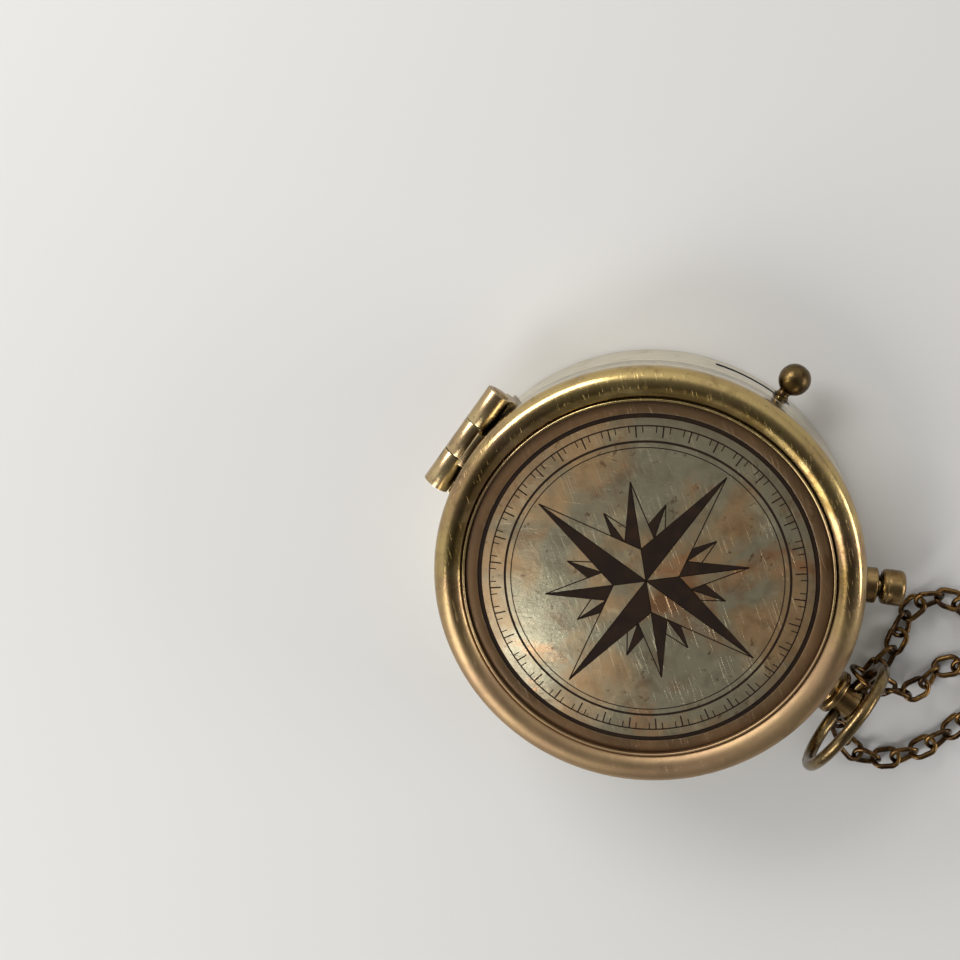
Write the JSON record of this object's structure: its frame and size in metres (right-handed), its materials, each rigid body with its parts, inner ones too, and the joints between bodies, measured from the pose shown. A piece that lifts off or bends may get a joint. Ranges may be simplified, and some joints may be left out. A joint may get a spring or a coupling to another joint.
{
  "type": "pocket compass",
  "caption": "Round brass pocket compass with a hinged lid, needle lock lever with a ball end, push-button catch, pendant with a ring bow and a chain.",
  "frame": {"origin": "centre of the flat back, on the surface that the compass lies on", "axes": "+Z out of the closed lid, the lid's hinge at +Y, the pendant with the bow at -Y, the lock lever's ball at +X"},
  "size_m": [0.0698, 0.1422, 0.0245],
  "materials": {
    "case_brass": "worn satin, greyish on the side wall, rubbed bright on edges",
    "plate_brass": "mottled brown and grey-green patina",
    "fitting_brass": "worn satin, rubbed bright on edges",
    "inner_brass": "fine turned",
    "dark_bronze": "dark antique, rubbed bright on high spots",
    "steel": "ground",
    "blued_steel": "blued, polished",
    "dial_white": "off-white enamel with dark printing",
    "jewel": "polished",
    "clear_glass": "polished clear"
  },
  "bodies": {
    "case": {"case_body": "case_brass", "back_cover": "plate_brass", "pivot_post": "inner_brass", "pivot_point": "steel", "dial_plate": "dial_white", "dial_ring": "case_brass", "glass": "clear_glass", "glass_bezel": "case_brass", "case_hinge_leaf": "case_brass", "hinge_pin": "dark_bronze", "button_bush": "fitting_brass", "button_spring": "steel", "pendant_collar": "fitting_brass", "pendant_post": "fitting_brass", "jump_ring": "dark_bronze", "chain_lead": "dark_bronze", "chain_loop": "dark_bronze", "chain_run": "dark_bronze", "end_ring": "dark_bronze", "bar": "dark_bronze"},
    "lid": {"lid_rim": "case_brass", "lid_plate": "plate_brass", "lid_striker": "case_brass", "lid_hinge_leaf": "case_brass"},
    "lever": {"lock_lever": "inner_brass", "lock_knob": "dark_bronze"},
    "lifter": {"lifter_sleeve": "inner_brass"},
    "needle": {"needle": "blued_steel", "needle_cap": "inner_brass", "needle_jewel": "jewel"},
    "button": {"button_head": "fitting_brass", "button_stem": "inner_brass", "catch_arm": "inner_brass"},
    "bow": {"bow_ring": "fitting_brass"}
  },
  "joints": [
    {"name": "lid_swing", "type": "hinge", "parent": "case", "child": "lid", "pos_m": [0, 0.0337, 0.0115], "axis": [-1, 0, 0], "range_deg": [0, 105]},
    {"name": "lever_turn", "type": "hinge", "parent": "case", "child": "lever", "pos_m": [0, 0, 0.00535], "axis": [0, 0, 1], "range_deg": [0, 16.5]},
    {"name": "lifter_rise", "type": "slide", "parent": "case", "child": "lifter", "axis": [0, 0, 1], "range_m": [0, 0.00035]},
    {"name": "needle_spin", "type": "hinge", "parent": "lifter", "child": "needle", "pos_m": [0, 0, 0.0085], "axis": [0, 0, 1], "continuous": true},
    {"name": "button_press", "type": "slide", "parent": "case", "child": "button", "axis": [-0.5, 0.866, 0], "range_m": [0, 0.00055], "stiffness_N_per_m": 300, "springref_m": -0.0005},
    {"name": "bow_swing", "type": "hinge", "parent": "case", "child": "bow", "pos_m": [0, -0.038, 0.0058], "axis": [1, 0, 0], "range_deg": [-12, 88]}
  ],
  "couplings": [
    {"joint": "lifter_rise", "follows": "lever_turn", "m_per_rad": 0.0012154}
  ]
}
